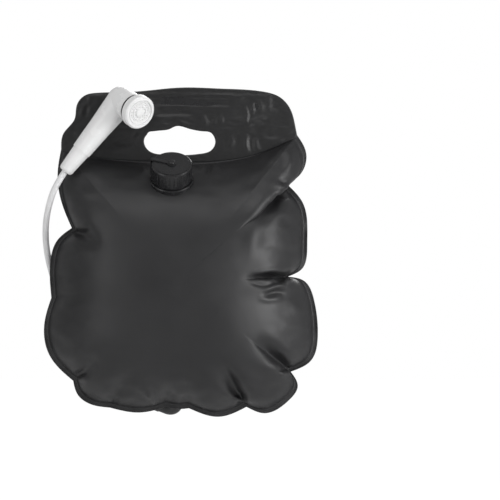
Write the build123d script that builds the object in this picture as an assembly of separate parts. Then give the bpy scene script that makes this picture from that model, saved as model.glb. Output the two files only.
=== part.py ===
from build123d import *
import math
import os

# Portable shower: a hanging water bag, its filler valve, its outlet and hose, and a handset.
# Millimetres. The origin is the middle of the grip hole's upper edge, where a hook carries the bag.
# +X is to the right of someone facing the bag, +Y away from them, +Z up.

# Water bag
sheet = 0.9
seam = 7.0
bag_depth = 92.0
centre_x = 0.0
centre_z = -218.0
round_half_width = 184.0
round_up = 174.0
round_down = 187.0
round_power = 4.6
level_shares = (1.0, 0.97, 0.92, 0.85, 0.76, 0.65, 0.52, 0.37, 0.2)
lobe_steps = 5
scallop_fade = 0.5
profile_rise = 3.2
profile_round = 1.25

# Band with the grip hole
band_sheet = 0.8
band_overlap = 4.0
grip_width = 102.0
grip_height = 38.0
grip_corner = 17.0
bar_length = 250.0
bar_height = 18.0
bar_thick = 3.2
bar_z = 35.0
sleeve_margin = 3.5
sleeve_wall = 1.2

# Filler valve, stacked along its own axis from the front panel outwards
valve_x = -11.0
valve_share = 0.8253
valve_tilt = 52.0
flange_r = 31.0
flange_thick = 2.6
neck_r = 22.0
neck_wall = 3.5
seat_clear = 0.15
neck_inside = 9.0
cut_through = 40.0
ring_r = 27.5
ring_thick = 2.4
cap_r = 29.0
cap_top = 29.0
cap_plate = 4.6
cap_flutes = 30
gasket_thick = 1.8
pin_r = 2.2
pin_head_r = 4.6
pin_head = 2.0
strap_wide = 6.0
strap_thick = 1.6
strap_turn = 160.0
eye_r = 6.2

# Outlet under the bag
outlet_x = -4.0
outlet_share = 0.77
outlet_tilt = -58.0
pad_r = 20.0
pad_thick = 2.4
stub_r = 8.0
stub_length = 32.0
stub_inside = 8.0
stub_wall = 2.2
elbow_r = 9.0
elbow_bend = 15.0
elbow_turn = 93.0
elbow_heading = (-0.80, 0.22, 0.52)
elbow_socket = 20.0
elbow_straight = 15.0
elbow_overlap = 12.0
elbow_lip = 8.0
elbow_lip_wall = 0.8

# Hose
hose_r = 4.5
hose_bore = 3.0
hose_seat = 14.0
hose_lead = 20.0
hose_way = (
    (-83.0, 101.0, -364.0),
    (-113.0, 91.0, -331.0),
    (-140.0, 76.0, -294.0),
    (-163.0, 57.0, -254.0),
    (-179.5, 34.0, -216.0),
    (-188.0, 11.0, -181.0),
    (-190.5, -9.0, -150.0),
    (-187.5, -25.0, -119.0),
)
clip_wall = 0.8
clip_length = 6.0
barb_bore = 1.8
barb_flange = 6.0

# Handset
elbow_point = (-82.3, -40.0, 37.4)
handle_lean = 38.6
handle_length = 127.8
head_aim = (0.545, -0.755, -0.367)
tail_length = 37.0
tail_end_r = 10.5
tail_r = 13.0
handle_low_r = 14.2
handle_mid_r = 16.6
head_r = 20.5
shell_wall = 2.6
spigot_length = 10.0
shoulder_at = 37.0
nose_at = 44.0
nose_r = 19.0
collar_from = 38.2
collar_to = 50.6
collar_r = 24.0
collar_clear = 0.4
collar_lip = 1.4
plate_r = 20.2
plate_from = 45.4
plate_thick = 3.0
seat_from = 26.0
disc_thick = 3.0
seal_r = 1.1
stem_r = 5.0
screw_r = 1.5
nozzle_r = 0.7

# Hang loop
cord_r = 1.0
loop_at = 33.5
loop_groove = 0.8
eyelet_x = -67.0
eyelet_z = 14.0
eyelet_r = 5.6
eyelet_hole = 2.9
eyelet_lip = 0.9
strand_gap = 0.5
lock_y = 10.5
lock_z = -15.0
lock_r = 5.5
lock_length = 23.0
plunger_r = 3.8
plunger_out = 5.0
plunger_travel = 4.0
run_clear = 0.15


# The outline of the bag as it stands full, lobe by lobe, from one puckered corner to the next
LOBES = (
    ((-168, -30), (-173, -62), (-169, -100)),
    ((-153, -142), (-174, -160), (-183.5, -190)),
    ((-182, -241), (-192, -278), (-185, -322)),
    ((-151, -359), (-145, -378), (-124, -393)),
    ((-99, -397), (-56, -404)),
    ((-19, -396), (-3, -399)),
    ((13.5, -398), (57, -410)),
    ((95, -396), (120, -405), (154, -388), (168, -366)),
    ((158, -346), (187, -330), (196.5, -290), (192, -248), (177, -217)),
    ((154, -211), (174, -200), (181.5, -163), (174, -104)),
    ((153, -80), (173, -64), (180, -36)),
    ((167, -10), (112, -33), (58, -43), (-58, -43), (-112, -39)),
)

# The band's edge, from its left foot over the top to its right foot
BAND_EDGE = (
    (-168, -30),
    (-165, -8),
    (-149, 13),
    (-146, 32),
    (-133, 47),
    (-118, 50),
    (-60, 52),
    (0, 57.5),
    (60, 56),
    (121, 51.5),
    (141, 45),
    (158, 26),
    (164, 5),
    (167, -10),
)


def lean(angle):
    return Vector(0, -math.cos(math.radians(angle)), math.sin(math.radians(angle)))


def profile(share):
    """Depth of the bulge at a share of the way from its middle to its edge."""
    return bag_depth * (1 - share**profile_rise) ** (1 / profile_round)


def round_radius(x, z):
    """Radius of the plain rounded outline in the direction of a point."""
    reach = math.hypot(x, z)
    half_height = round_up if z > 0 else round_down
    across = abs(x) / reach / round_half_width
    along = abs(z) / reach / half_height
    return (across**round_power + along**round_power) ** (-1 / round_power)


def surface_depth(x, z):
    """Depth of the bulge near a point of the bag, without its puckers."""
    dx = x - centre_x
    dz = z - centre_z
    share = math.hypot(dx, dz) / (round_radius(dx, dz) - seam)
    return profile(min(share, 1.0))


def seam_line():
    """Points of the bag's edge, a few to each lobe."""
    starts = [Vector(lobe[0][0], 0, lobe[0][1]) for lobe in LOBES]
    points = []
    for lobe, after in zip(LOBES, starts[1:] + starts[:1]):
        curve = Spline(*[Vector(x, 0, z) for x, z in lobe], after)
        points += [curve @ (step / lobe_steps) for step in range(lobe_steps)]
    return points


def level(share, inward, y):
    """One closed level of a panel: scalloped at its edge, plainly rounded further in."""
    keep = max(0.0, (share - scallop_fade) / (1 - scallop_fade)) ** 1.4
    points = []
    for p in SEAM_LINE:
        dx = p.X - centre_x
        dz = p.Z - centre_z
        reach = math.hypot(dx, dz)
        wide = keep * reach + (1 - keep) * round_radius(dx, dz)
        scale = ((wide - seam) * share - inward) / reach
        points.append(Vector(centre_x + dx * scale, y, centre_z + dz * scale))
    return points


def facet(*corners):
    return Face(Wire.make_polygon(corners))


def bulge(inward):
    """Closed solid of half the bag, to the outside of its sheet or that much inside it."""
    levels = [level(1.0, inward, 0.0)]
    for share in level_shares[1:]:
        levels.append(level(share, inward, inward - profile(share)))
    tip = Vector(centre_x, inward - bag_depth, centre_z)
    faces = [facet(*levels[0])]
    for low, high in zip(levels, levels[1:] + [[tip] * len(SEAM_LINE)]):
        for index in range(len(low)):
            after = (index + 1) % len(low)
            faces.append(facet(low[index], low[after], high[after]))
            if high[index] != high[after]:
                faces.append(facet(low[index], high[after], high[index]))
    return Solid(Shell(faces))


def seam_plate():
    """Flat welded edge of one panel."""
    return extrude(facet(*level(1.0, -seam, 0.0)), sheet, dir=(0, -1, 0))


def along(frame, start, length, radius, inner=0.0):
    """Round bar or tube on a frame's own axis."""
    disc = Circle(radius) - Circle(inner) if inner else Circle(radius)
    return extrude(frame * (Pos(0, 0, start) * disc), length, dir=frame.z_dir)


def turned(frame, *points):
    """Solid turned about a frame's own axis from (radius, height) points."""
    face = make_face(Polyline(*[(r, h) for r, h in points], close=True))
    solid = revolve(Plane.XZ * face, axis=Axis.Z)
    return frame.location * solid


def torus_on(frame, height, major, minor):
    return frame.location * (Pos(0, 0, height) * Torus(major, minor))


SEAM_LINE = seam_line()
outer_half = bulge(0.0)
inner_half = bulge(sheet)
front_blank = seam_plate() + outer_half - inner_half
back_blank = mirror(front_blank, about=Plane.XZ)
outer_back = mirror(outer_half, about=Plane.XZ)

valve_z = centre_z + valve_share * round_up
outlet_z = centre_z - outlet_share * round_down

valve = Plane(
    origin=(valve_x, -surface_depth(valve_x, valve_z), valve_z),
    x_dir=(1, 0, 0),
    z_dir=lean(valve_tilt),
)
outlet = Plane(
    origin=(outlet_x, surface_depth(outlet_x, outlet_z), outlet_z),
    x_dir=(1, 0, 0),
    z_dir=(
        0,
        math.cos(math.radians(outlet_tilt)),
        math.sin(math.radians(outlet_tilt)),
    ),
)


# Water bag


def front_panel():
    return front_blank - along(valve, -cut_through / 2, cut_through, neck_r)


def back_panel():
    return back_blank - along(outlet, -cut_through / 2, cut_through, stub_r)


def grip_hole(margin=0.0):
    hole = RectangleRounded(
        grip_width + 2 * margin, grip_height + 2 * margin, grip_corner + margin
    )
    return Plane.XZ * (Pos(0, -grip_height / 2) * hole)


def handle_band():
    """Double band over the panels' top seam, with a sleeve for the stiffener."""
    thick = sheet + band_sheet
    foot = [(x, z - band_overlap) for x, z in LOBES[-1][1:]]
    edge = Spline(*[Vector(x, 0, z) for x, z in BAND_EDGE])
    low = [Vector(BAND_EDGE[-1][0], 0, BAND_EDGE[-1][1] - band_overlap)]
    low += [Vector(x, 0, z) for x, z in foot]
    low += [Vector(BAND_EDGE[0][0], 0, BAND_EDGE[0][1] - band_overlap)]
    right = Line(edge @ 1, low[0])
    left = Line(low[-1], edge @ 0)
    face = Face(Wire([edge.edge(), right.edge(), Spline(*low).edge(), left.edge()]))
    body = extrude(face, thick, dir=(0, 1, 0), both=True)
    half = bar_thick / 2 + sleeve_wall
    sleeve = Pos(0, 0, bar_z) * Box(
        bar_length + 2 * sleeve_margin, 2 * half, bar_height + 2 * sleeve_margin
    )
    sleeve = fillet(sleeve.edges().filter_by(Axis.Y), bar_height / 2)
    pocket = Pos(0, 0, bar_z) * Box(bar_length, bar_thick, bar_height)
    pocket = fillet(pocket.edges().filter_by(Axis.Y), bar_height / 2 - 1)
    body = body + sleeve - pocket
    body -= extrude(grip_hole(), 20, dir=(0, 1, 0), both=True)
    body -= Pos(eyelet_x, 0, eyelet_z) * Rot(90, 0, 0) * Cylinder(
        eyelet_hole + eyelet_lip, 20
    )
    body = body - front_blank - back_blank
    return body.solids().sort_by(SortBy.VOLUME)[-1]


def handle_bar():
    bar = Pos(0, 0, bar_z) * Box(bar_length, bar_thick, bar_height)
    return fillet(bar.edges().filter_by(Axis.Y), bar_height / 2 - 1)


# Filler valve


def filler_neck():
    pad = along(valve, -neck_inside, neck_inside + flange_thick, flange_r)
    edge = pad.edges().sort_by(lambda e: (e.center() - valve.origin).dot(valve.z_dir))
    pad = chamfer(edge[-1], 1.0)
    pad = pad - outer_half
    neck = pad + along(valve, -neck_inside, neck_inside + neck_top(), neck_r)
    return neck - along(valve, -neck_inside - 1, neck_inside + cap_top, neck_r - neck_wall)


def ring_top():
    return flange_thick + ring_thick


def neck_top():
    return cap_inner() - gasket_thick - seat_clear


def tether_ring():
    return along(valve, flange_thick, ring_thick, ring_r, neck_r + 0.3)


def cap_inner():
    return cap_top - cap_plate


def filler_cap():
    low = ring_top() + 0.6
    body = turned(
        valve,
        (0, cap_inner()),
        (0, cap_top),
        (cap_r - 3.2, cap_top),
        (cap_r - 3.2, cap_top - 0.6),
        (cap_r - 1.2, cap_top - 0.6),
        (cap_r, cap_top - 1.8),
        (cap_r, low),
        (neck_r + 0.6, low),
        (neck_r + 0.6, cap_inner()),
    )
    cutter = Cylinder(1.5, cap_top - low - 6)
    body -= [place * cutter for place in flute_places(low)]
    return body - along(valve, cap_top - 3.0, 4, pin_r)


def flute_places(low):
    middle = (low + cap_top) / 2 - 1.0
    places = []
    for index in range(cap_flutes):
        turn = Rot(0, 0, 360 / cap_flutes * index)
        places.append(valve.location * turn * Pos(cap_r + 0.9, 0, middle))
    return places


def cap_gasket():
    return along(valve, cap_inner() - gasket_thick, gasket_thick, neck_r, neck_r - neck_wall - 2)


def cap_pin():
    low = cap_top - 3.0
    high = cap_top + strap_thick + 0.4
    shank = along(valve, low, high - low, pin_r)
    head = along(valve, high, pin_head, pin_head_r)
    edge = head.edges().sort_by(lambda e: (e.center() - valve.origin).dot(valve.z_dir))
    return shank + fillet(edge[-1], 1.2)


def tether_eyelet():
    return along(valve, cap_top + 0.2, strap_thick, eye_r, pin_r + 0.2)


def tether_strap():
    """Strap from the ring, up outside the skirt and over the rim to the eyelet."""
    inside = cap_r + 1.2
    outside = inside + strap_thick
    top = cap_top + 0.2 + strap_thick
    low = flange_thick
    high_in = top - strap_thick
    run = Polyline(
        (eye_r - 0.5, top),
        (outside, top),
        (outside, low),
        (ring_r - 0.5, low),
        (ring_r - 0.5, low + strap_thick),
        (inside, low + strap_thick),
        (inside, high_in),
        (eye_r - 0.5, high_in),
        close=True,
    )
    flat = extrude(Plane.XZ * make_face(run), strap_wide / 2, both=True)
    corners = flat.edges().filter_by(Axis.Y)
    outer = [e for e in corners if e.center().X > outside - 0.1]
    flat = fillet(outer, 2.4)
    strap = valve.location * Rot(0, 0, strap_turn) * flat
    return strap - along(valve, 0, cap_top + 9, eye_r) - along(valve, 0, cap_top - 9, ring_r)


# Outlet


def outlet_flange():
    pad = along(outlet, -stub_inside, stub_inside + pad_thick, pad_r) - outer_back
    stub = along(outlet, -stub_inside, stub_inside + stub_length, stub_r)
    bore = along(outlet, -stub_inside - 1, stub_inside + stub_length + 2, stub_r - stub_wall)
    return pad + stub - bore


def elbow_plane():
    """Plane of the elbow's bend: x along the stub, y towards the way out."""
    heading = Vector(*elbow_heading).normalized()
    side = (heading - outlet.z_dir * heading.dot(outlet.z_dir)).normalized()
    return outlet.origin + outlet.z_dir * (stub_length - elbow_overlap), side


def elbow_route():
    start, side = elbow_plane()
    frame = Plane(origin=start, x_dir=outlet.z_dir, z_dir=outlet.z_dir.cross(side))
    flat = Line((0, 0), (elbow_straight, 0))
    bend = CenterArc((elbow_straight, elbow_bend), elbow_bend, -90, elbow_turn)
    out = bend % 1
    end = Line(bend @ 1, bend @ 1 + out * elbow_socket)
    return frame, Wire([(frame * e).edge() for e in (flat, bend, end)])


def outlet_end():
    """Frame at the mouth of the elbow, its axis the way the hose leaves."""
    _, route = elbow_route()
    return Plane(origin=route @ 1, z_dir=route % 1)


def outlet_elbow():
    """Soft boot pushed over the stub, with a thicker lip where the hose goes in."""
    _, route = elbow_route()
    ring = Plane(origin=route @ 0, z_dir=route % 0)
    mouth = outlet_end()
    solid = sweep(ring * Circle(elbow_r), path=route)
    solid += along(mouth, -elbow_lip, elbow_lip, elbow_r + elbow_lip_wall)
    water = sweep(ring * Circle(hose_r), path=route)
    solid -= water
    solid -= along(mouth, -hose_seat - 2, 2, barb_flange)
    return solid - along(outlet, -1, stub_length + 1, stub_r)


def barb(frame, start, length, flange):
    """Hose tail with three ridges, its wide end at the start."""
    points = [(barb_bore, start), (flange, start), (flange, start + 2), (hose_bore - 0.5, start + 2)]
    pitch = (length - 4) / 3
    for index in range(3):
        foot = start + 2 + pitch * index
        points += [
            (hose_bore, foot + 0.8),
            (hose_bore, foot + 1.2),
            (hose_bore - 0.5, foot + pitch),
        ]
    points += [(hose_bore - 0.7, start + length), (barb_bore, start + length)]
    return turned(frame, *points)


def outlet_barb():
    mouth = outlet_end()
    return barb(mouth, -hose_seat - 2, hose_seat, barb_flange)


# Handset frames

handle = Plane(
    origin=elbow_point,
    x_dir=(0, 1, 0),
    z_dir=(
        math.sin(math.radians(handle_lean)),
        0,
        math.cos(math.radians(handle_lean)),
    ),
)
head = Plane(origin=elbow_point, z_dir=Vector(*head_aim).normalized())
tail_at = -handle_length
tail_end = Plane(origin=handle.origin + handle.z_dir * tail_at, z_dir=-handle.z_dir)


# Hose


def hose_points():
    """Route from the elbow round behind the bag's left side up to the handset's tail."""
    mouth = outlet_end()
    low = [
        mouth.origin - mouth.z_dir * hose_seat,
        mouth.origin + mouth.z_dir * hose_lead,
    ]
    high = [
        tail_end.origin + tail_end.z_dir * hose_lead,
        tail_end.origin - tail_end.z_dir * hose_seat,
    ]
    return low + [Vector(*p) for p in hose_way] + high


def rounded_route(points):
    """Straight runs joined by the largest arcs that they allow."""
    radii = []
    for before, here, after in zip(points, points[1:], points[2:]):
        inward = Vector(*here) - Vector(*before)
        onward = Vector(*after) - Vector(*here)
        turn = math.radians(inward.get_angle(onward))
        radii.append(0.45 * min(inward.length, onward.length) / math.tan(turn / 2))
    route = FilletPolyline(*points, radius=radii)
    print("radii", [round(r, 1) for r in radii], "length", round(route.length, 1))
    return route


def cord_tube(points, radius, bore=0.0):
    route = rounded_route(points)
    ring = Plane(origin=route @ 0, z_dir=route % 0)
    disc = Circle(radius) - Circle(bore) if bore else Circle(radius)
    solid = sweep(ring * disc, path=route)
    section = math.pi * (radius**2 - bore**2)
    print("volume", round(solid.volume), "section by length", round(section * route.length))
    return solid


def hose():
    return cord_tube(hose_points(), hose_r, hose_bore)


def hose_barb():
    inner = Plane(origin=tail_end.origin, z_dir=tail_end.z_dir)
    return barb(inner, -hose_seat - 2, hose_seat, barb_flange)


def hose_clip():
    return along(tail_end, -hose_seat + 3, clip_length, hose_r + clip_wall, hose_r)


# Handset


def handset_tail():
    """Screwed tail piece, round nosed, with the seat of the hose and its clip."""
    top = tail_at + tail_length
    solid = turned(
        handle,
        (0, tail_at),
        (tail_end_r - 3.5, tail_at),
        (tail_end_r - 1.2, tail_at + 1.2),
        (tail_end_r, tail_at + 4.0),
        (tail_r, top),
        (handle_low_r - shell_wall, top),
        (handle_low_r - shell_wall, top + spigot_length),
        (0, top + spigot_length),
    )
    solid -= along(handle, tail_at - 1, tail_length + spigot_length + 2, barb_bore)
    solid -= along(handle, tail_at - 1, 1 + hose_seat, hose_r)
    solid -= along(handle, tail_at + hose_seat - 9, 9, hose_r + clip_wall)
    solid -= along(handle, tail_at + hose_seat, 2, barb_flange)
    return solid


def handle_outline(less):
    """Half profile of the grip from its low end into the elbow."""
    low = tail_at + tail_length
    return (
        (0, low if less == 0 else low - 1),
        (handle_low_r - less, low if less == 0 else low - 1),
        (handle_low_r - less, low + 1),
        (handle_mid_r - less, low + 42),
        (head_r - 1.2 - less, -16),
        (head_r - less - 0.2, 0),
        (0, 0),
    )


def handset_body():
    shell = turned(handle, *handle_outline(0))
    shell += head.location * Sphere(head_r)
    shell += along(head, 0, shoulder_at, head_r)
    shell += along(head, 0, nose_at, nose_r)
    inside = turned(handle, *handle_outline(shell_wall))
    inside += head.location * Sphere(head_r - shell_wall)
    inside += along(head, 0, nose_at + 1, nose_r - shell_wall)
    shell -= inside
    shell -= along(head, loop_at - 1.2, 2.4, head_r + 1, head_r - loop_groove)
    shell -= along(head, collar_from + 1.8, 1.8, nose_r + 1, nose_r - 1.1)
    return shell


def ported(disc, radius, size):
    """Cut the two ports of the shut-off discs."""
    for turn in (0, 180):
        place = head.location * Rot(0, 0, turn) * Pos(radius, 0, 0)
        disc -= place * Cylinder(size, 200)
    return disc


def valve_seat():
    disc = along(head, seat_from, disc_thick, nose_r - shell_wall)
    return ported(disc, 8.0, 3.4)


def valve_seal():
    return torus_on(head, seat_from + disc_thick + seal_r, 13.4, seal_r)


def valve_rotor():
    low = seat_from + disc_thick + 2 * seal_r + run_clear
    disc = along(head, low, disc_thick, nose_r - shell_wall - 0.4)
    disc = ported(disc, 8.0, 3.4)
    disc += along(head, low, plate_from - low, stem_r)
    return disc - along(head, low + 3, plate_from, screw_r)


def collar_seal():
    return torus_on(head, collar_from + 2.7, nose_r - 1.1 + 0.7, 0.7)


def spray_collar():
    bore = nose_r + collar_clear
    return turned(
        head,
        (bore, collar_from),
        (collar_r - 0.8, collar_from),
        (collar_r, collar_from + 0.8),
        (collar_r, collar_from + 2.4),
        (collar_r - 0.7, collar_from + 3.1),
        (collar_r, collar_from + 3.8),
        (collar_r, collar_from + 5.4),
        (collar_r - 0.7, collar_from + 6.1),
        (collar_r, collar_from + 6.8),
        (collar_r, collar_to - 2.2),
        (collar_r - 2.0, collar_to),
        (plate_r - 1.0, collar_to),
        (plate_r - 1.6, collar_to - collar_lip),
        (plate_r - 1.6, plate_from + plate_thick),
        (plate_r, plate_from + plate_thick),
        (plate_r, plate_from),
        (bore, plate_from),
    )


def spray_plate():
    """Face with two raised rings and two circles of nozzle holes."""
    back = plate_from
    front = plate_from + plate_thick
    plate = turned(
        head,
        (screw_r, back),
        (plate_r, back),
        (plate_r, front),
        (17.4, front),
        (16.8, front + 0.9),
        (15.6, front + 0.9),
        (15.0, front),
        (11.4, front),
        (10.8, front + 0.9),
        (9.8, front + 0.9),
        (9.2, front),
        (6.6, front),
        (6.6, front - 1.2),
        (screw_r, front - 1.2),
    )
    for radius, count in ((13.2, 20), (8.0, 10)):
        for index in range(count):
            place = head.location * Rot(0, 0, 360 / count * index) * Pos(radius, 0, back)
            plate -= place * Cylinder(nozzle_r, 20)
    return plate


def face_button():
    low = plate_from + plate_thick - 1.2
    return turned(head, (3.4, low), (6.6, low), (6.6, low + 1.8), (5.4, low + 2.8), (0, low + 3.2), (0, low + 1.9), (3.4, low + 1.9))


def plate_screw():
    top = plate_from + plate_thick - 1.2
    shank = along(head, plate_from - 8, top - plate_from + 8, screw_r)
    return shank + along(head, top, 1.6, 3.2)


# Hang loop


def eyelet_barrel(front, back):
    """Half of the grommet: a flange and the barrel through the band."""
    tube = Pos(eyelet_x, (front + back) / 2, eyelet_z) * Rot(90, 0, 0)
    return tube * Cylinder(eyelet_hole + eyelet_lip, back - front)


def eyelet_piece(side):
    face = sheet + band_sheet
    lip = Pos(eyelet_x, side * (face + eyelet_lip / 2), eyelet_z) * Rot(90, 0, 0)
    solid = lip * Cylinder(eyelet_r, eyelet_lip)
    if side < 0:
        solid += eyelet_barrel(-face - eyelet_lip, face)
    hole = Pos(eyelet_x, 0, eyelet_z) * Rot(90, 0, 0) * Cylinder(eyelet_hole, 30)
    return solid - hole


def band_eyelet_front():
    return eyelet_piece(-1)


def band_eyelet_back():
    return eyelet_piece(1)


def strand_x(side):
    return eyelet_x + side * (cord_r + strand_gap / 2)


def loop_points():
    """From the lock up behind the band, out through the grommet, round the neck and back."""
    middle = head.origin + head.z_dir * loop_at
    gate = Vector(eyelet_x, -10, eyelet_z)
    towards = gate - middle
    outward = (towards - head.z_dir * towards.dot(head.z_dir)).normalized()
    sideways = head.z_dir.cross(outward)
    if sideways.X > 0:
        sideways = sideways * -1
    reach = head_r - loop_groove + cord_r
    corner = reach / math.cos(math.radians(22.5))
    ring = []
    for index in range(8):
        angle = math.radians(22.5 + 45 * index)
        ring.append(middle + outward * (corner * math.cos(angle)) + sideways * (corner * math.sin(angle)))
    low = lock_z - lock_r
    left = strand_x(-1)
    right = strand_x(1)
    start = [Vector(left, lock_y, low), Vector(left, lock_y, eyelet_z), Vector(left, -10, eyelet_z)]
    end = [Vector(right, -10, eyelet_z), Vector(right, lock_y, eyelet_z), Vector(right, lock_y, low)]
    return start + ring + end


def neck_loop():
    return cord_tube(loop_points(), cord_r)


def lock_axis():
    return Plane(origin=(eyelet_x, lock_y, lock_z), x_dir=(0, 1, 0), z_dir=(1, 0, 0))


def strand_slot(low, high, deep):
    """Cross hole for both strands, between two places along the lock."""
    return Pos(eyelet_x + (low + high) / 2, lock_y, lock_z) * Box(high - low, deep, 30)


def lock_reach():
    return 2 * cord_r + strand_gap / 2


def cord_lock_body():
    left = -lock_length + 9
    barrel = along(lock_axis(), left, lock_length, lock_r)
    ends = barrel.edges().filter_by(GeomType.CIRCLE)
    barrel = fillet(ends, 1.0)
    barrel -= along(lock_axis(), left + 1.6, lock_length, plunger_r + run_clear)
    hold = lock_reach() + run_clear
    return barrel - strand_slot(-hold, hold, 2 * cord_r + 0.3)


def cord_lock_plunger():
    left = -6.5
    right = 9 + plunger_out
    plug = along(lock_axis(), left, right - left, plunger_r)
    ends = plug.edges().sort_by(Axis.X)
    plug = fillet(ends[-1], 1.2)
    low = -lock_reach() - run_clear
    return plug - strand_slot(low, lock_reach() + plunger_travel + 0.3, 2 * cord_r + 0.3)


def cord_lock_spring():
    """Coil between the closed end of the lock and the plunger."""
    left = -lock_length + 9 + 1.6
    length = -6.5 - left
    wire = 0.35
    coil = Helix(pitch=(length - 2 * wire) / 3, height=length - 2 * wire, radius=2.6)
    place = lock_axis().location * Pos(0, 0, left + wire)
    start = Plane(origin=coil @ 0, z_dir=coil % 0)
    return place * sweep(start * Circle(wire), path=coil)


def tail_points(side):
    """Free end of the elastic cord, hanging on to the bag's back shoulder."""
    x = strand_x(side)
    out = side * 4.0 - 3.0
    return [
        Vector(x, lock_y, lock_z - lock_r),
        Vector(x, lock_y, -33),
        Vector(x + out * 0.3, 12, -44.5),
        Vector(x + out, 19.5, -54),
        Vector(x + out * 2, 35.5, -64),
    ]


def cord_tail_left():
    return cord_tube(tail_points(-1), cord_r)


def cord_tail_right():
    return cord_tube(tail_points(1), cord_r)


NODES = (
    front_panel,
    back_panel,
    handle_band,
    handle_bar,
    filler_neck,
    tether_ring,
    filler_cap,
    cap_gasket,
    cap_pin,
    tether_eyelet,
    tether_strap,
    outlet_flange,
    outlet_elbow,
    outlet_barb,
    hose,
    hose_barb,
    hose_clip,
    handset_tail,
    handset_body,
    valve_seat,
    valve_seal,
    valve_rotor,
    collar_seal,
    spray_collar,
    spray_plate,
    face_button,
    plate_screw,
    band_eyelet_front,
    band_eyelet_back,
    neck_loop,
    cord_lock_body,
    cord_lock_plunger,
    cord_lock_spring,
    cord_tail_left,
    cord_tail_right,
)

os.makedirs("parts", exist_ok=True)
for node in NODES:
    print(node.__name__)
    solid = node()
    export_step(Compound(children=solid.solids()), f"parts/{node.__name__}.step")
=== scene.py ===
import math
import bpy
import numpy as np
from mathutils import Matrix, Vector, noise
from mathutils.geometry import delaunay_2d_cdt


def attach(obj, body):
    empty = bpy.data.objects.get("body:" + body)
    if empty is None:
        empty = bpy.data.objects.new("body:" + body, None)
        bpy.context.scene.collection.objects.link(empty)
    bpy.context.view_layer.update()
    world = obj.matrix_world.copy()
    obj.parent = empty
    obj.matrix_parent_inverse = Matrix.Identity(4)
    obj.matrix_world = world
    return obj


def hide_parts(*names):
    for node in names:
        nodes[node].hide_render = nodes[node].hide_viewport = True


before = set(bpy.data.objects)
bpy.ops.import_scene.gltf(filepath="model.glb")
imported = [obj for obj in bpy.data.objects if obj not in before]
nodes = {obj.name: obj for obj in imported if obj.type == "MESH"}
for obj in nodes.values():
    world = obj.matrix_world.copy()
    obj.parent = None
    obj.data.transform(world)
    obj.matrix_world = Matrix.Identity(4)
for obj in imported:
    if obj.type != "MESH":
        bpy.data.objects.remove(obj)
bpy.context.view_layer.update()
scene = bpy.context.scene

# Sizes repeated from the part's source, in metres
MM = 0.001
VALVE = Vector((-11.0, -42.724, -74.4)) * MM
VALVE_AXIS = Vector((0, -math.cos(math.radians(52)), math.sin(math.radians(52))))
OUTLET = Vector((-4.0, 53.715, -362.0)) * MM
OUTLET_AXIS = Vector((0, 0.5299, -0.8480))
CENTRE = np.array([0.0, -218.0])
DEPTH = 92.0
SEAM = 7.0
HALF_WIDTH = 184.0
HEIGHT_UP = 174.0
HEIGHT_DOWN = 187.0
ROUND_POWER = 4.6
PUCKER_FADE = 0.5
PUCKER_POWER = 1.4
PROFILE_RISE = 3.2
PROFILE_ROUND = 0.8
EYELET = (-67.0, 14.0)
EYELET_HOLE = 3.8
LOBES = (
    ((-168, -30), (-173, -62), (-169, -100)),
    ((-153, -142), (-174, -160), (-183.5, -190)),
    ((-182, -241), (-192, -278), (-185, -322)),
    ((-151, -359), (-145, -378), (-124, -393)),
    ((-99, -397), (-56, -404)),
    ((-19, -396), (-3, -399)),
    ((13.5, -398), (57, -410)),
    ((95, -396), (120, -405), (154, -388), (168, -366)),
    ((158, -346), (187, -330), (196.5, -290), (192, -248), (177, -217)),
    ((154, -211), (174, -200), (181.5, -163), (174, -104)),
    ((153, -80), (173, -64), (180, -36)),
    ((167, -10), (112, -33), (58, -43), (-58, -43), (-112, -39)),
)
BAND_EDGE = (
    (-168, -30), (-165, -8), (-149, 13), (-146, 32), (-133, 47), (-118, 50), (-60, 52),
    (0, 57.5), (60, 56), (121, 51.5), (141, 45), (158, 26), (164, 5), (167, -10),
)
HOSE = (
    (-22.86, 89.27, -398.35), (-52.26, 102.73, -387.84), (-83, 101, -364), (-113, 91, -331),
    (-140, 76, -294), (-163, 57, -254), (-179.5, 34, -216), (-188, 11, -181),
    (-190.5, -9, -150), (-187.5, -25, -119), (-174.51, -40, -78.11), (-153.30, -40, -51.54),
)


# Camera, backdrop and light

CAMERA_AWAY = 7.0
CAMERA_HEIGHT = -0.1732
VIEW_WIDTH = 0.71
FLOOR_HEIGHT = -0.62
FLOOR_WHITE = 0.86

cam_data = bpy.data.cameras.new("camera")
camera = bpy.data.objects.new("camera", cam_data)
scene.collection.objects.link(camera)
scene.camera = camera
camera.location = (0.0, -CAMERA_AWAY, CAMERA_HEIGHT)
camera.rotation_euler = (math.radians(90), 0, 0)
cam_data.sensor_width = 36.0
cam_data.lens = 36.0 * CAMERA_AWAY / VIEW_WIDTH
cam_data.shift_x = 0.141
cam_data.clip_end = 50.0

scene.view_settings.view_transform = "Standard"


def new_material(name):
    mat = bpy.data.materials.new(name)
    mat.use_nodes = True
    tree = mat.node_tree
    return mat, tree, tree.nodes["Principled BSDF"]


def add(tree, kind, **values):
    node = tree.nodes.new(kind)
    for key, value in values.items():
        setattr(node, key, value)
    return node


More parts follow.
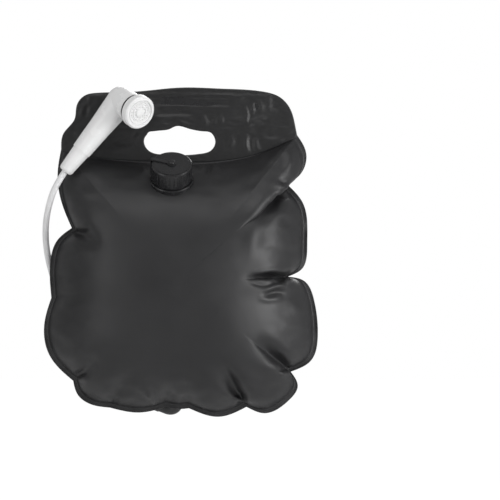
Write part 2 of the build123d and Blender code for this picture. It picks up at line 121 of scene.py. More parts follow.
# The floor shows almost white to the camera and still takes a little of the shadow
floor_mat, tree, bsdf = new_material("floor_pale")
bsdf.inputs["Roughness"].default_value = 0.95
bsdf.inputs["Specular IOR Level"].default_value = 0.1
grain = add(tree, "ShaderNodeTexNoise")
grain.inputs["Scale"].default_value = 60.0
ramp = add(tree, "ShaderNodeValToRGB")
ramp.color_ramp.elements[0].color = (0.86, 0.86, 0.86, 1)
ramp.color_ramp.elements[1].color = (0.92, 0.92, 0.92, 1)
tree.links.new(grain.outputs["Fac"], ramp.inputs["Fac"])
tree.links.new(ramp.outputs["Color"], bsdf.inputs["Base Color"])
bright = add(tree, "ShaderNodeEmission")
bright.inputs["Strength"].default_value = 1.12
floor_path = add(tree, "ShaderNodeLightPath")
most = add(tree, "ShaderNodeMath", operation="MULTIPLY")
most.inputs[1].default_value = FLOOR_WHITE
pale = add(tree, "ShaderNodeMixShader")
tree.links.new(floor_path.outputs["Is Camera Ray"], most.inputs[0])
tree.links.new(most.outputs[0], pale.inputs["Fac"])
tree.links.new(bsdf.outputs["BSDF"], pale.inputs[1])
tree.links.new(bright.outputs[0], pale.inputs[2])
tree.links.new(pale.outputs[0], tree.nodes["Material Output"].inputs["Surface"])

bpy.ops.mesh.primitive_plane_add(size=14.0, location=(0, 3.0, FLOOR_HEIGHT))
floor = bpy.context.object
floor.name = "floor"
floor.data.materials.append(floor_mat)

world = bpy.data.worlds.new("studio")
scene.world = world
world.use_nodes = True
wt = world.node_tree
back = wt.nodes["Background"]
back.inputs["Color"].default_value = (1, 1, 1, 1)
back.inputs["Strength"].default_value = 0.36
white = add(wt, "ShaderNodeBackground")
white.inputs["Color"].default_value = (1, 1, 1, 1)
white.inputs["Strength"].default_value = 1.0
path = add(wt, "ShaderNodeLightPath")
mix = add(wt, "ShaderNodeMixShader")
seen = add(wt, "ShaderNodeMath", operation="MAXIMUM")
wt.links.new(path.outputs["Is Camera Ray"], seen.inputs[0])
wt.links.new(path.outputs["Is Transmission Ray"], seen.inputs[1])
wt.links.new(seen.outputs[0], mix.inputs["Fac"])
wt.links.new(back.outputs[0], mix.inputs[1])
wt.links.new(white.outputs[0], mix.inputs[2])
wt.links.new(mix.outputs[0], wt.nodes["World Output"].inputs["Surface"])


def softbox(name, place, target, width, height, power):
    data = bpy.data.lights.new(name, "AREA")
    data.shape = "RECTANGLE"
    data.size = width
    data.size_y = height
    data.energy = power
    lamp = bpy.data.objects.new(name, data)
    scene.collection.objects.link(lamp)
    lamp.location = place
    aim = Vector(target) - Vector(place)
    lamp.rotation_euler = aim.to_track_quat("-Z", "Y").to_euler()
    return lamp


softbox("key_right", (1.7, -1.1, -0.25), (0, 0, -0.2), 0.9, 1.6, 36)
softbox("fill_left", (-1.6, -1.5, 0.1), (0, 0, -0.2), 1.0, 1.4, 9)
softbox("top_front", (0.1, -1.3, 1.6), (0, 0, -0.15), 1.6, 0.9, 12)
softbox("back_rim", (0.4, 1.8, 0.9), (0, 0, -0.15), 1.4, 1.2, 12)


# Materials

def mapped(tree, scale=(1, 1, 1)):
    coord = add(tree, "ShaderNodeTexCoord")
    mapping = add(tree, "ShaderNodeMapping")
    mapping.inputs["Scale"].default_value = scale
    tree.links.new(coord.outputs["Object"], mapping.inputs["Vector"])
    return mapping.outputs["Vector"]


def colour_spread(tree, bsdf, vector, scale, low, high, detail=3.0, at=(0.3, 0.7)):
    """Colour that varies softly over the surface between two shades."""
    tex = add(tree, "ShaderNodeTexNoise")
    tex.inputs["Scale"].default_value = scale
    tex.inputs["Detail"].default_value = detail
    ramp = add(tree, "ShaderNodeValToRGB")
    ramp.color_ramp.elements[0].position = at[0]
    ramp.color_ramp.elements[1].position = at[1]
    ramp.color_ramp.elements[0].color = (*low, 1)
    ramp.color_ramp.elements[1].color = (*high, 1)
    tree.links.new(vector, tex.inputs["Vector"])
    tree.links.new(tex.outputs["Fac"], ramp.inputs["Fac"])
    tree.links.new(ramp.outputs["Color"], bsdf.inputs["Base Color"])


def rough_spread(tree, bsdf, vector, scale, low, high):
    tex = add(tree, "ShaderNodeTexNoise")
    tex.inputs["Scale"].default_value = scale
    tex.inputs["Detail"].default_value = 4.0
    spread = add(tree, "ShaderNodeMapRange")
    spread.inputs["From Min"].default_value = 0.3
    spread.inputs["From Max"].default_value = 0.7
    spread.inputs["To Min"].default_value = low
    spread.inputs["To Max"].default_value = high
    tree.links.new(vector, tex.inputs["Vector"])
    tree.links.new(tex.outputs["Fac"], spread.inputs["Value"])
    tree.links.new(spread.outputs["Result"], bsdf.inputs["Roughness"])


def bumped(tree, bsdf, heights, strength, distance):
    """Sums height outputs, each with its weight, into one bump."""
    total = None
    for output, weight in heights:
        part = add(tree, "ShaderNodeMath", operation="MULTIPLY")
        part.inputs[1].default_value = weight
        tree.links.new(output, part.inputs[0])
        if total is None:
            total = part.outputs[0]
        else:
            both = add(tree, "ShaderNodeMath", operation="ADD")
            tree.links.new(total, both.inputs[0])
            tree.links.new(part.outputs[0], both.inputs[1])
            total = both.outputs[0]
    bump = add(tree, "ShaderNodeBump")
    bump.inputs["Strength"].default_value = strength
    bump.inputs["Distance"].default_value = distance
    tree.links.new(total, bump.inputs["Height"])
    tree.links.new(bump.outputs["Normal"], bsdf.inputs["Normal"])


def texture(tree, vector, kind, scale, **values):
    tex = add(tree, kind)
    tex.inputs["Scale"].default_value = scale
    for key, value in values.items():
        tex.inputs[key].default_value = value
    tree.links.new(vector, tex.inputs["Vector"])
    return tex


def coated_fabric(name, low, high, rough, weave):
    """Polymer-coated cloth: fine plain weave under a satin coat, with soft scuffs."""
    mat, tree, bsdf = new_material(name)
    vector = mapped(tree)
    colour_spread(tree, bsdf, vector, 9.0, low, high)
    rough_spread(tree, bsdf, vector, 26.0, rough - 0.06, rough + 0.06)
    bsdf.inputs["Specular IOR Level"].default_value = 0.45
    bsdf.inputs["Sheen Weight"].default_value = 0.03
    bsdf.inputs["Sheen Roughness"].default_value = 0.4
    warp = texture(tree, mapped(tree, (1, 0.02, 0.02)), "ShaderNodeTexWave", weave, Distortion=0.0)
    weft = texture(tree, mapped(tree, (0.02, 0.02, 1)), "ShaderNodeTexWave", weave, Distortion=0.0)
    weft.bands_direction = "Z"
    pores = texture(tree, vector, "ShaderNodeTexNoise", 900.0, Detail=2.0)
    soft = texture(tree, vector, "ShaderNodeTexNoise", 38.0, Detail=3.0)
    heights = [
        (warp.outputs["Fac"], 0.12),
        (weft.outputs["Fac"], 0.12),
        (pores.outputs["Fac"], 0.25),
        (soft.outputs["Fac"], 1.6),
    ]
    bumped(tree, bsdf, heights, 0.35, 0.0004)
    return mat


def moulded(name, low, high, rough, grain=700.0, bump=0.15, coat=0.0):
    """Moulded plastic or rubber with a fine grain and small shade changes."""
    mat, tree, bsdf = new_material(name)
    vector = mapped(tree)
    colour_spread(tree, bsdf, vector, 30.0, low, high)
    rough_spread(tree, bsdf, vector, 60.0, rough - 0.05, rough + 0.05)
    bsdf.inputs["Coat Weight"].default_value = coat
    bsdf.inputs["Coat Roughness"].default_value = 0.12
    fine = texture(tree, vector, "ShaderNodeTexNoise", grain, Detail=2.0)
    wide = texture(tree, vector, "ShaderNodeTexNoise", 45.0, Detail=2.0)
    bumped(tree, bsdf, [(fine.outputs["Fac"], 0.3), (wide.outputs["Fac"], 0.7)], bump, 0.0003)
    return mat


bag_mat = coated_fabric("bag_coated", (0.011, 0.011, 0.012), (0.017, 0.017, 0.018), 0.44, 900.0)
band_mat = coated_fabric("band_coated", (0.006, 0.006, 0.0065), (0.011, 0.011, 0.0115), 0.42, 900.0)
black_mat = moulded("black_plastic_moulded", (0.010, 0.010, 0.011), (0.016, 0.016, 0.017), 0.27)
soft_black_mat = moulded("black_soft_moulded", (0.016, 0.016, 0.017), (0.024, 0.024, 0.025), 0.42, 500.0, 0.3)
rubber_mat = moulded("seal_rubber_moulded", (0.03, 0.03, 0.03), (0.045, 0.045, 0.045), 0.6, 500.0, 0.3)
white_mat = moulded("white_plastic_gloss", (0.76, 0.76, 0.76), (0.81, 0.81, 0.81), 0.26, 900.0, 0.05, 0.3)
grey_mat = moulded("grey_plastic_moulded", (0.32, 0.32, 0.33), (0.40, 0.40, 0.41), 0.35)
clear_mat = moulded("clear_grey_moulded", (0.30, 0.31, 0.32), (0.38, 0.39, 0.40), 0.2, 900.0, 0.05, 0.4)

steel_mat, tree, bsdf = new_material("clip_steel_brushed")
vector = mapped(tree, (1, 1, 8))
colour_spread(tree, bsdf, vector, 120.0, (0.52, 0.52, 0.53), (0.66, 0.66, 0.67))
rough_spread(tree, bsdf, vector, 200.0, 0.22, 0.38)
bsdf.inputs["Metallic"].default_value = 1.0

hose_mat, tree, bsdf = new_material("hose_silicone_clear")
vector = mapped(tree)
colour_spread(tree, bsdf, vector, 22.0, (0.72, 0.72, 0.725), (0.80, 0.80, 0.805))
rough_spread(tree, bsdf, vector, 80.0, 0.30, 0.42)
bsdf.inputs["Subsurface Weight"].default_value = 0.5
bsdf.inputs["Subsurface Radius"].default_value = (0.004, 0.004, 0.004)
bsdf.inputs["Subsurface Scale"].default_value = 1.0
streaks = texture(tree, mapped(tree, (1, 1, 0.2)), "ShaderNodeTexNoise", 160.0, Detail=2.0)
bumped(tree, bsdf, [(streaks.outputs["Fac"], 0.5)], 0.1, 0.0003)

cord_mat, tree, bsdf = new_material("elastic_cord_braid")
vector = mapped(tree)
colour_spread(tree, bsdf, vector, 60.0, (0.014, 0.014, 0.015), (0.030, 0.030, 0.031))
bsdf.inputs["Roughness"].default_value = 0.75
bsdf.inputs["Sheen Weight"].default_value = 0.2
braid = texture(tree, vector, "ShaderNodeTexVoronoi", 1500.0)
bumped(tree, bsdf, [(braid.outputs["Distance"], 1.0)], 0.6, 0.0004)

SLOT_MATERIALS = {
    "black_plastic": black_mat,
    "black_soft_plastic": soft_black_mat,
    "seal_rubber": rubber_mat,
    "clear_grey_plastic": clear_mat,
    "clip_steel": steel_mat,
    "white_plastic": white_mat,
    "grey_plastic": grey_mat,
    "eyelet_metal": black_mat,
    "stiffener": black_mat,
    "bag_fabric": bag_mat,
    "band_fabric": band_mat,
    "hose_silicone": hose_mat,
    "elastic_cord": cord_mat,
}
for name, obj in nodes.items():
    for slot in obj.material_slots:
        key = slot.material.name.split(".")[0] if slot.material else ""
        for known, mat in SLOT_MATERIALS.items():
            if known in key:
                slot.material = mat


# Cords

def cord_curve(name, points, diameter, material, body="bag"):
    """Round cord along given points, in millimetres."""
    data = bpy.data.curves.new(name, "CURVE")
    data.dimensions = "3D"
    data.bevel_depth = diameter / 2 * MM
    data.bevel_resolution = 6
    data.resolution_u = 12
    data.use_fill_caps = True
    spline = data.splines.new("NURBS")
    spline.points.add(len(points) - 1)
    for point, place in zip(spline.points, points):
        point.co = (place[0] * MM, place[1] * MM, place[2] * MM, 1)
    spline.order_u = 3
    spline.use_endpoint_u = True
    obj = bpy.data.objects.new(name, data)
    scene.collection.objects.link(obj)
    data.materials.append(material)
    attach(obj, body)
    return obj


hose = cord_curve("shower_hose", HOSE, 9.0, hose_mat)
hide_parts("hose")

LOOP = (
    (-68.25, 10.5, -20.5), (-68.25, 10.5, 14.0), (-68.25, -10.0, 14.0), (-60.72, -53.68, 6.23),
    (-74.78, -63.48, 5.52), (-82.55, -74.33, 16.29), (-79.5, -79.87, 32.23), (-67.4, -76.86, 44.0),
    (-53.34, -67.06, 44.71), (-45.56, -56.21, 33.94), (-48.62, -50.67, 18.01), (-65.75, -10.0, 14.0),
    (-65.75, 10.5, 14.0), (-65.75, 10.5, -20.5),
)
TAIL_LEFT = (
    (-68.25, 10.5, -20.5), (-68.25, 10.5, -33.0), (-70.35, 12.0, -44.5), (-75.25, 19.5, -54.0),
    (-82.25, 35.5, -64.0),
)
TAIL_RIGHT = (
    (-65.75, 10.5, -20.5), (-65.75, 10.5, -33.0), (-65.45, 12.0, -44.5), (-64.75, 19.5, -54.0),
    (-63.75, 35.5, -64.0),
)
loop = cord_curve("elastic_loop", LOOP, 2.0, cord_mat)
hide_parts("neck_loop")
for name, points, node, length in (
    ("elastic_tail_left", TAIL_LEFT, "cord_tail_left", 0.057),
    ("elastic_tail_right", TAIL_RIGHT, "cord_tail_right", 0.0547),
):
    tail = cord_curve(name, points, 2.0, cord_mat)
    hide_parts(node)


# Curves and folds in the plane of the bag, in millimetres

def natural_spline(points, count, last=False):
    """Smooth curve through points, sampled evenly by chord length."""
    p = np.array(points, float)
    t = np.concatenate([[0], np.cumsum(np.linalg.norm(np.diff(p, axis=0), axis=1))])
    size = len(p)
    a = np.zeros((size, size))
    b = np.zeros((size, p.shape[1]))
    a[0, 0] = a[-1, -1] = 1
    for i in range(1, size - 1):
        h0, h1 = t[i] - t[i - 1], t[i + 1] - t[i]
        a[i, i - 1], a[i, i], a[i, i + 1] = h0, 2 * (h0 + h1), h1
        b[i] = 6 * ((p[i + 1] - p[i]) / h1 - (p[i] - p[i - 1]) / h0)
    m = np.linalg.solve(a, b)
    u = np.linspace(0, t[-1], count + 1)
    if not last:
        u = u[:-1]
    i = np.clip(np.searchsorted(t, u, side="right") - 1, 0, size - 2)
    h = (t[i + 1] - t[i])[:, None]
    x0 = (t[i + 1] - u)[:, None]
    x1 = (u - t[i])[:, None]
    return (
        (m[i] * x0**3 + m[i + 1] * x1**3) / (6 * h)
        + (p[i] / h - m[i] * h / 6) * x0
        + (p[i + 1] / h - m[i + 1] * h / 6) * x1
    )


def smooth(low, high, value):
    t = np.clip((value - low) / (high - low), 0, 1)
    return t * t * (3 - 2 * t)


def fold_height(xz, points, width, height, hollow=0.7, side=1.0, ends=0.35):
    """Height of one fold at each place: a ridge with a hollow beside it, fading at its ends."""
    line = natural_spline(points, 20, True) if len(points) > 2 else np.linspace(points[0], points[-1], 12)
    best = np.full(len(xz), 1e9)
    signed = np.zeros(len(xz))
    place = np.zeros(len(xz))
    for k in range(len(line) - 1):
        a, b = line[k], line[k + 1]
        along = b - a
        t = np.clip(((xz - a) @ along) / (along @ along), 0, 1)
        off = xz - (a + t[:, None] * along)
        dist = np.linalg.norm(off, axis=1)
        near = dist < best
        best = np.where(near, dist, best)
        cross = along[0] * off[:, 1] - along[1] * off[:, 0]
        signed = np.where(near, np.sign(cross) * dist, signed)
        place = np.where(near, (k + t) / (len(line) - 1), place)
    fade = smooth(0, ends, place) * smooth(0, ends, 1 - place)
    u = signed / width
    return height * fade * (np.exp(-u**2) - hollow * np.exp(-((u - side * 1.9) ** 2)))


def noise_at(points, scale, seed=0.0):
    out = np.empty(len(points))
    for k, p in enumerate(points):
        out[k] = noise.noise(Vector((p[0] / scale + seed, p[1] / scale, (p[2] if len(p) > 2 else 0.0) / scale)))
    return out


def mesh_object(name, verts, faces, material):
    data = bpy.data.meshes.new(name)
    data.from_pydata([tuple(v) for v in verts], [], faces)
    data.validate()
    data.update()
    for polygon in data.polygons:
        polygon.use_smooth = True
    data.materials.append(material)
    obj = bpy.data.objects.new(name, data)
    scene.collection.objects.link(obj)
    return obj


# Water bag panels

outline = []
pinch_index = []
for lobe, after in zip(LOBES, LOBES[1:] + LOBES[:1]):
    pinch_index.append(len(outline))
    run = list(lobe) + [after[0]]
    length = sum(math.dist(a, b) for a, b in zip(run, run[1:]))
    outline.extend(natural_spline(run, max(10, round(length / 2.5))))
outline = np.array(outline)
step = np.linalg.norm(np.roll(outline, -1, axis=0) - outline, axis=1)
arc = np.concatenate([[0], np.cumsum(step)[:-1]])
perimeter = step.sum()
ray = outline - CENTRE
reach = np.linalg.norm(ray, axis=1)
half_height = np.where(ray[:, 1] > 0, HEIGHT_UP, HEIGHT_DOWN)
across = np.abs(ray[:, 0]) / reach / HALF_WIDTH
along_z = np.abs(ray[:, 1]) / reach / half_height
round_radius = (across**ROUND_POWER + along_z**ROUND_POWER) ** (-1 / ROUND_POWER)
PINCH_STRENGTH = (0.10, 0.34, 0.10, 0.30, 0.24, 0.18, 0.18, 0.42, 0.40, 0.46, 0.42, 0.12)
PINCH_REACH = (0.80, 0.62, 0.80, 0.68, 0.66, 0.78, 0.78, 0.60, 0.60, 0.48, 0.52, 0.80)

# Folds of the front panel: points, width, height, hollow, side
FRONT_FOLDS = (
    (((146, -76), (129, -90), (109, -119), (104, -146), (102.5, -178), (110, -192)), 11.0, 3.4, 0.5, 1.0),
    (((96, -206), (116, -203), (139, -201.5), (154, -206)), 3.6, 3.0, 1.0, -1.0),
    (((98, -209), (114, -216), (130, -215), (142, -206)), 3.2, 2.6, 0.7, -1.0),
    (((128, -219), (140, -224), (156, -214)), 3.4, 3.2, 0.9, 1.0),
    (((112, -236), (130, -226), (152, -228), (157, -233)), 4.0, 2.8, 0.9, -1.0),
    (((108, -240), (128, -243), (148, -238)), 5.0, 1.8, 0.6, 1.0),
    (((134, -76), (146, -84), (156, -80)), 3.2, 2.8, 1.0, 1.0),
    (((132, -88), (146, -92), (158, -88)), 3.4, 2.0, 0.8, -1.0),
    (((140, -352), (150, -347), (162, -345)), 3.2, 2.4, 0.9, 1.0),
    (((142, -340), (152, -338), (164, -336)), 4.0, 1.6, 0.6, -1.0),
    (((76, -388), (82, -383), (90, -389), (94, -398)), 3.2, 3.6, 1.0, -1.0),
    (((60, -372), (74, -382), (88, -394)), 5.0, 1.8, 0.6, 1.0),
    (((-50, -372), (-42, -380), (-33, -398)), 4.0, 2.4, 0.8, 1.0),
    (((-56, -366), (-48, -374), (-36, -380)), 5.0, 1.4, 0.5, -1.0),
    (((-18, -372), (-16, -384), (-18, -397)), 3.6, 1.8, 0.8, 1.0),
    (((12, -376), (12, -388), (13, -398)), 3.8, 1.6, 0.8, -1.0),
    (((-96, -378), (-98, -388), (-99, -398)), 4.2, 1.8, 0.8, 1.0),
    (((-126, -352), (-138, -356), (-150, -359)), 4.2, 2.2, 0.8, -1.0),
    (((-124, -138), (-138, -141), (-153, -142)), 4.2, 2.4, 0.9, 1.0),
    (((-118, -152), (-134, -150), (-152, -145)), 5.0, 1.4, 0.5, -1.0),
    (((22, -46), (34, -54), (30, -70)), 3.4, 1.8, 0.8, 1.0),
    (((44, -48), (50, -58), (46, -74)), 4.5, 1.3, 0.6, -1.0),
    (((-46, -48), (-50, -58), (-44, -76)), 4.0, 1.5, 0.7, 1.0),
    (((150, -30), (156, -46), (148, -66)), 5.0, 2.2, 0.6, -1.0),
)


# The seam fin: how far out from the weld each ring lies, and half its thickness there
FIN = (
    (0.5, 1.3), (1.1, 0.85), (2.4, 1.0), (3.2, 0.8), (5.4, 0.9), (6.3, 1.05), (6.8, 0.8), (7.0, 0.35),
    (6.9, 0.0),
)
# Radii within which a panel lies flat under a welded flange, and beyond which it is free again
OUTLET_FLAT = (24.0, 38.0)
VALVE_FLAT = (33.0, 50.0)


def profile(share):
    return DEPTH * (1 - share**PROFILE_RISE) ** PROFILE_ROUND


def flattened(points, origin, axis, near, far):
    """Brings the surface down to the welded flange's plane round a valve."""
    o = np.array(origin) / MM
    n = np.array(axis)
    off = points - o
    height = off @ n
    radius = np.linalg.norm(off - height[:, None] * n, axis=1)
    share = 1 - smooth(near, far, radius)
    close = (np.abs(height) < 40) & (share > 0)
    target = np.where(height > 0.2, 0.2, height)
    change = np.where(close, (target - height) * share, 0)
    return points + change[:, None] * n


def panel(name, side, folds, seed):
    """One bulged panel with its seam fin; side is -1 for the front and 1 for the back."""
    rings = []
    shares = [0.04 + 0.955 * math.sin(math.pi / 2 * k / 64) ** 0.9 for k in range(65)]
    for share in shares:
        keep = max(0.0, (share - PUCKER_FADE) / (1 - PUCKER_FADE)) ** PUCKER_POWER
        wide = keep * reach + (1 - keep) * round_radius
        scale = (wide - SEAM) * share / reach
        xz = CENTRE + ray * scale[:, None]
        valley = np.zeros(len(xz))
        puff = np.zeros(len(xz))
        for index, strength, start in zip(pinch_index, PINCH_STRENGTH, PINCH_REACH):
            away = np.abs(arc - arc[index])
            away = np.minimum(away, perimeter - away)
            width = 7.0 + 42.0 * (1 - share)
            ramp = smooth(start, 0.97, np.full(1, share))[0]
            valley += strength * ramp * np.exp(-((away / width) ** 2))
            puff += 0.18 * strength * ramp * np.exp(-(((away - 2.1 * width) / (1.1 * width)) ** 2))
        depth = profile(share) * (1 - np.clip(valley, 0, 0.7) + puff)
        rings.append(np.column_stack([xz[:, 0], -depth, xz[:, 1]]))
    count = len(outline)
    grid = np.array(rings)
    # Folds stand up along the grid's own normals
    around = np.roll(grid, -1, axis=1) - np.roll(grid, 1, axis=1)
    inward = np.gradient(grid, axis=0)
    normal = np.cross(around, inward)
    normal /= np.linalg.norm(normal, axis=2)[:, :, None] + 1e-9
    if normal[0, 0, 1] > 0:
        normal = -normal
    flat = grid.reshape(-1, 3)
    xz = flat[:, [0, 2]]
    height = np.zeros(len(flat))
    for points, width, tall, hollow, turn in folds:
        height += fold_height(xz, points, width, tall, hollow, turn)
    edge = np.repeat(np.array(shares), count)
    ripple = noise_at(np.column_stack([xz[:, 0], xz[:, 1] * 1.8, np.zeros(len(xz))]), 26.0, seed)
    broad = noise_at(np.column_stack([xz, np.zeros(len(xz))]), 95.0, seed + 7)
    fine = noise_at(np.column_stack([xz, np.zeros(len(xz))]), 11.0, seed + 19)
    height += ripple * 1.5 * smooth(0.55, 0.9, edge) + broad * 1.6
    height += fine * 0.35 * smooth(0.6, 0.95, edge)
    height *= 1 - smooth(0.97, 0.995, edge)
    flat = flat + normal.reshape(-1, 3) * height[:, None]
    if side > 0:
        flat[:, 1] *= -1
        flat = flattened(flat, OUTLET, OUTLET_AXIS, *OUTLET_FLAT)
    else:
        flat = flattened(flat, VALVE, VALVE_AXIS, *VALVE_FLAT)
    verts = [(0.0, side * (DEPTH - 0.4), CENTRE[1])] + [tuple(p) for p in flat]
    wave = noise_at(np.column_stack([outline, np.zeros(count)]), 21.0, 3.0) * 2.2
    wave += noise_at(np.column_stack([outline, np.zeros(count)]), 9.0, 5.0) * 0.6
    top = smooth(-70, -40, outline[:, 1]) * (np.abs(outline[:, 0]) < 170)
    wave *= 1 - top
    for offset, lift in FIN:
        scale = (reach - SEAM + offset) / reach
        ring = CENTRE + ray * scale[:, None]
        y = side * lift + wave * (offset / SEAM) ** 2
        verts += [(x, v, z) for (x, z), v in zip(ring, y)]
    faces = []
    levels = len(shares) + len(FIN)
    for j in range(count):
        after = (j + 1) % count
        faces.append((0, 1 + after, 1 + j))
        for k in range(levels - 1):
            a = 1 + k * count
            b = a + count
            faces.append((a + j, a + after, b + after, b + j))
    if side > 0:
        faces = [tuple(reversed(f)) for f in faces]
    return mesh_object(name, np.array(verts) * MM, faces, bag_mat)


front = panel("bag_front_panel", -1, FRONT_FOLDS, 0.0)
BACK_FOLDS = tuple(
    (points, width, tall * 0.8, hollow, -turn) for points, width, tall, hollow, turn in FRONT_FOLDS[1:20]
)
back_piece = panel("bag_back_panel", 1, BACK_FOLDS, 40.0)
for obj, node in ((front, "front_panel"), (back_piece, "back_panel")):
    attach(obj, "bag")
    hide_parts(node)


# Band with the grip hole

HOLE_EDGE = (
    (-46.4, -9.6), (-49.2, -13.6), (-50.4, -18.5), (-49.2, -24.5), (-45.2, -30.6), (-38.7, -34.9),
    (-26.4, -37.4), (-8, -38.4), (12.7, -38.1), (30.8, -36.3), (43.9, -32.3), (48.6, -27.2),
    (50.8, -19.6), (48.6, -11.6), (43.9, -6.4), (34.5, -4.8), (23.6, -3.4), (13.5, -1.1), (4.8, 1.7),
    (-2.4, 2.8), (-8.5, 1.2), (-14, -1.6), (-20, -3.0), (-30, -3.9), (-38.7, -4.8), (-43.8, -6.0),
    (-46.4, -9.6),
)


def offset_loop(loop, distance):
    """Loop moved sideways along its own normals, left of its direction."""
    ahead = np.roll(loop, -1, axis=0) - np.roll(loop, 1, axis=0)
    ahead /= np.linalg.norm(ahead, axis=1)[:, None]
    return loop + np.column_stack([-ahead[:, 1], ahead[:, 0]]) * distance


def area_of(loop):
    nxt = np.roll(loop, -1, axis=0)
    return 0.5 * np.sum(loop[:, 0] * nxt[:, 1] - nxt[:, 0] * loop[:, 1])


def inside(loop, pts):
    x, z = pts[:, 0], pts[:, 1]
    result = np.zeros(len(pts), bool)
    nxt = np.roll(loop, -1, axis=0)
    for (x0, z0), (x1, z1) in zip(loop, nxt):
        crosses = (z0 > z) != (z1 > z)
        with np.errstate(divide="ignore", invalid="ignore"):
            at = (x1 - x0) * (z - z0) / (z1 - z0) + x0
        result ^= crosses & (x < at)
    return result


def distance_to(loop, pts):
    best = np.full(len(pts), 1e9)
    nxt = np.roll(loop, -1, axis=0)
    for a, b in zip(loop, nxt):
        along = b - a
        t = np.clip(((pts - a) @ along) / (along @ along + 1e-12), 0, 1)
        best = np.minimum(best, np.linalg.norm(pts - (a + t[:, None] * along), axis=1))
    return best


BAND_FOLDS = (
    (((-112, 46), (-40, 48), (30, 47.5), (96, 45)), 2.0, 0.9, 0.8, -1.0),
    (((-20, 40), (30, 40.5), (92, 38)), 2.6, 0.7, 0.9, -1.0),
    (((-60, 28), (-10, 31), (44, 29), (94, 29)), 2.4, 0.9, 1.0, 1.0),
    (((-44, 14), (-14, 15.5), (28, 14)), 3.2, 1.5, 1.0, 1.0),
    (((32, 20), (36, 12), (40, 3)), 2.6, 1.2, 1.0, 1.0),
    (((44, 19), (50, 13), (47, 5)), 2.4, 1.0, 1.0, -1.0),
    (((56, 18), (60, 12), (58, 7)), 2.4, 0.9, 0.9, 1.0),
    (((66, 16), (80, 12), (92, 14)), 2.6, 1.0, 0.9, -1.0),
    (((92, 32), (96, 20), (94, 4)), 2.2, 1.3, 1.0, 1.0),
    (((96, 4), (106, 10), (128, 16)), 2.6, 1.5, 0.8, -1.0),
    (((102, 36), (104, 26), (100, 20)), 2.6, 1.1, 1.0, 1.0),
    (((110, 40), (116, 30), (112, 22)), 3.0, 1.2, 0.9, -1.0),
    (((124, 24), (134, 25), (142, 24)), 2.0, 0.8, 0.7, 1.0),
    (((40, 0), (70, -1), (98, -2)), 1.4, 0.5, 1.0, 1.0),
    (((60, -4), (76, -5), (104, -2)), 1.4, 0.45, 1.0, 1.0),
    (((66, -8), (74, -18), (66, -30)), 4.0, 0.9, 0.6, 1.0),
    (((98, -8), (94, -22), (98, -36)), 4.0, 1.3, 0.7, 1.0),
    (((110, -10), (108, -24), (116, -34)), 3.6, 1.4, 0.8, -1.0),
    (((112, -14), (130, -18), (152, -16)), 5.0, 1.3, 0.6, 1.0),
    (((124, 2), (142, 1), (158, 2)), 1.6, 0.7, 0.8, 1.0),
    (((-54, -4), (-62, -16), (-56, -30)), 2.0, 0.7, 1.0, -1.0),
    (((-48, 6), (-66, 4), (-92, 3)), 1.6, 0.6, 0.9, 1.0),
    (((-60, -24), (-76, -28), (-98, -30)), 4.0, 0.9, 0.5, 1.0),
    (((-36, 8), (-20, 4), (-6, 9), (12, 5), (30, 3)), 2.0, 0.9, 0.8, 1.0),
    (((-128, 40), (-138, 24), (-140, 10)), 3.0, 1.0, 0.7, 1.0),
    (((-150, 0), (-140, -14), (-120, -22)), 3.4, 1.0, 0.7, -1.0),
)


BAND_FOOT = ((167, -14), (112, -37), (58, -47), (-58, -47), (-112, -43), (-168, -34))


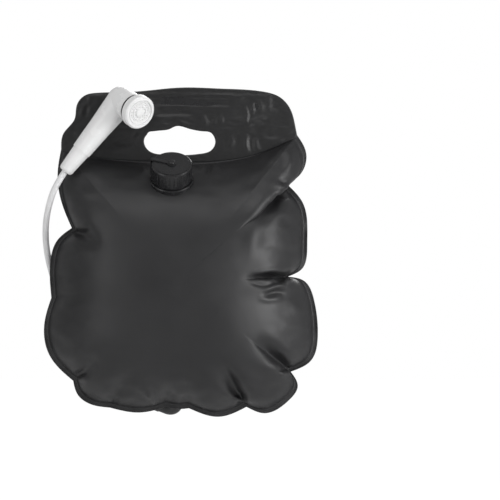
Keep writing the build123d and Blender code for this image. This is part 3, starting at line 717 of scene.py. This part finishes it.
def band():
    """Double band with its grip hole, eyelet, weld lines and folds."""
    upper = natural_spline(BAND_EDGE, 300, True)
    lower = natural_spline(BAND_FOOT, 190, True)
    outer = np.vstack([upper, lower])
    if area_of(outer) < 0:
        outer = outer[::-1]
    hole = natural_spline(HOLE_EDGE, 150)
    if area_of(hole) < 0:
        hole = hole[::-1]
    turn = np.linspace(0, 2 * math.pi, 32, endpoint=False)
    eyelet = np.column_stack(
        [EYELET[0] + EYELET_HOLE * np.cos(turn), EYELET[1] + EYELET_HOLE * np.sin(turn)]
    )

    def to_edges(places):
        to_holes = np.minimum(distance_to(hole, places), distance_to(eyelet, places))
        return np.minimum(distance_to(outer, places), to_holes)

    def on_band(places):
        return inside(outer, places) & ~inside(hole, places) & ~inside(eyelet, places)

    chains = []
    points = []
    for edge_loop in (outer, hole, eyelet):
        chains.append((len(points), len(edge_loop)))
        points += [tuple(p) for p in edge_loop]
    rows = []
    for distance in (0.45, 1.0, 1.8, 3.0):
        rows.append(offset_loop(outer, distance))
        rows.append(offset_loop(hole, -distance))
    rows = np.vstack(rows)
    xs = np.arange(-186, 186, 2.3)
    zs = np.arange(-50, 60, 2.0)
    grid = np.array([(x + (1.15 if k % 2 else 0), z) for k, z in enumerate(zs) for x in xs])
    candidates = np.vstack([rows, grid])
    limit = np.concatenate([np.full(len(rows), 0.4), np.full(len(grid), 3.6)])
    candidates = candidates[on_band(candidates) & (to_edges(candidates) > limit)]
    points += [tuple(p) for p in candidates]
    edges = []
    for start, size in chains:
        edges += [(start + k, start + (k + 1) % size) for k in range(size)]
    result = delaunay_2d_cdt([Vector(p) for p in points], edges, [], 0, 1e-4, True)
    flat = np.array([tuple(v) for v in result[0]])
    tris = np.array([f for f in result[2]])
    middle = flat[tris].mean(axis=1)
    tris = tris[on_band(middle)]
    edge_gap = to_edges(flat)
    border_now = edge_gap < 1e-3
    x, z = flat[:, 0], flat[:, 1]
    sleeve = smooth(132.5, 127.5, np.abs(x)) * smooth(14.5, 10.5, np.abs(z - 35))
    thick = 1.7 + 1.15 * sleeve
    rounding = np.sqrt(np.clip(1 - (1 - np.clip(edge_gap / 1.9, 0, 1)) ** 2, 0, 1))
    flat3 = np.column_stack([flat, np.zeros(len(flat))])
    sway = (noise_at(flat3, 70.0, 11.0) * 2.4 + noise_at(flat3, 24.0, 17.0) * 0.7) * smooth(-34, -6, z)
    quiet = smooth(7, 14, np.hypot(x - EYELET[0], z - EYELET[1]))
    sway = sway * quiet
    seen = np.zeros(len(flat))
    behind = np.zeros(len(flat))
    for fold_points, width, tall, hollow, turn_side in BAND_FOLDS:
        seen += fold_height(flat, fold_points, width, tall, hollow, turn_side)
        behind += fold_height(flat, fold_points, width * 1.2, tall * 0.7, hollow, -turn_side)
    pucker = noise_at(np.column_stack([x, z * 1.6, np.zeros(len(flat))]), 8.0, 23.0)
    seen += pucker * 0.5
    behind += noise_at(np.column_stack([x, z * 1.6, np.zeros(len(flat))]), 9.0, 31.0) * 0.5
    for at, deep in ((2.6, -0.35), (3.6, 0.25), (5.2, -0.3)):
        weld = np.exp(-(((distance_to(hole, flat) - at) / 0.55) ** 2)) * deep
        seen += weld
        behind += weld
    hem = np.exp(-(((distance_to(outer, flat) - 3.2) / 0.6) ** 2)) * -0.3
    seen += hem
    behind += hem
    calm = smooth(1.2, 5.0, edge_gap) * quiet
    front_y = sway - np.maximum(0.35, thick + seen * calm) * rounding
    back_y = sway + np.maximum(0.35, thick + behind * calm) * rounding
    verts = [(a, b, c) for a, b, c in zip(x, np.where(border_now, sway, front_y), z)]
    faces = []
    twin = {}
    for k in range(len(flat)):
        if border_now[k]:
            twin[k] = k
        else:
            twin[k] = len(verts)
            verts.append((x[k], back_y[k], z[k]))
    for a, b, c in tris:
        pa, pb, pc = flat[a], flat[b], flat[c]
        turn_way = (pb[0] - pa[0]) * (pc[1] - pa[1]) - (pb[1] - pa[1]) * (pc[0] - pa[0])
        if turn_way < 0:
            b, c = c, b
        faces.append((int(a), int(b), int(c)))
        faces.append((twin[int(a)], twin[int(c)], twin[int(b)]))
    return mesh_object("grip_band", np.array(verts) * MM, faces, band_mat)


band_piece = band()
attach(band_piece, "bag")
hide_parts("handle_band")
